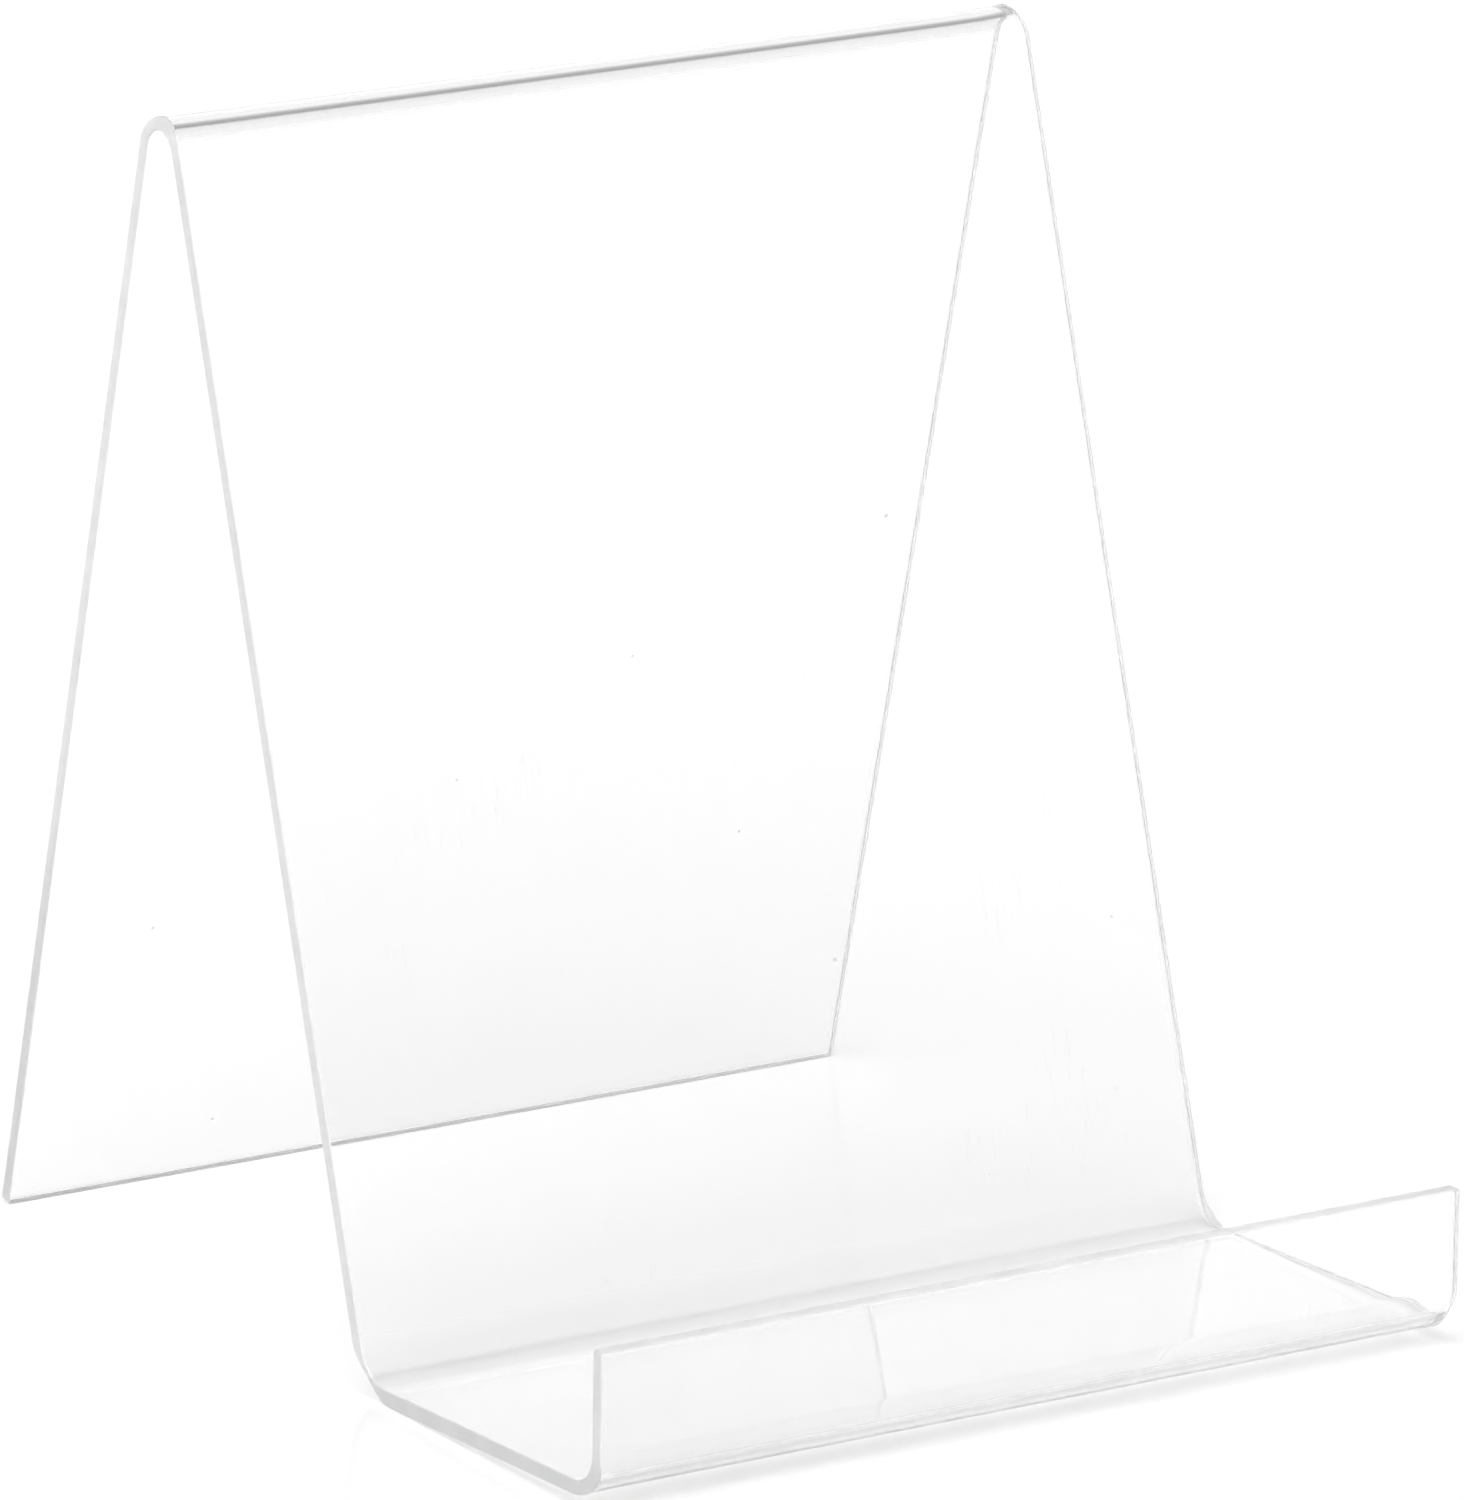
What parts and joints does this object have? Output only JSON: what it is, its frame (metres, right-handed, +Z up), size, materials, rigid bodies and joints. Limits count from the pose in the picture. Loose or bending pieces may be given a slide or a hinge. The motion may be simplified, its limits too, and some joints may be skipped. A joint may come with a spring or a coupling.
{
  "type": "display stand",
  "caption": "Clear acrylic sheet bent into an easel that holds a plate, book or picture leaning back behind a low front lip.",
  "frame": {"origin": "on the table, under the middle of the stand's overall box", "axes": "+X along the bends, to the right for someone facing the front panel; -Y is the front, where the lip is; +Z is up"},
  "size_m": [0.1524, 0.1781, 0.1841],
  "materials": {
    "clear_acrylic": "polished"
  },
  "bodies": {
    "root": {"bent_acrylic_sheet": "clear_acrylic"}
  },
  "joints": []
}
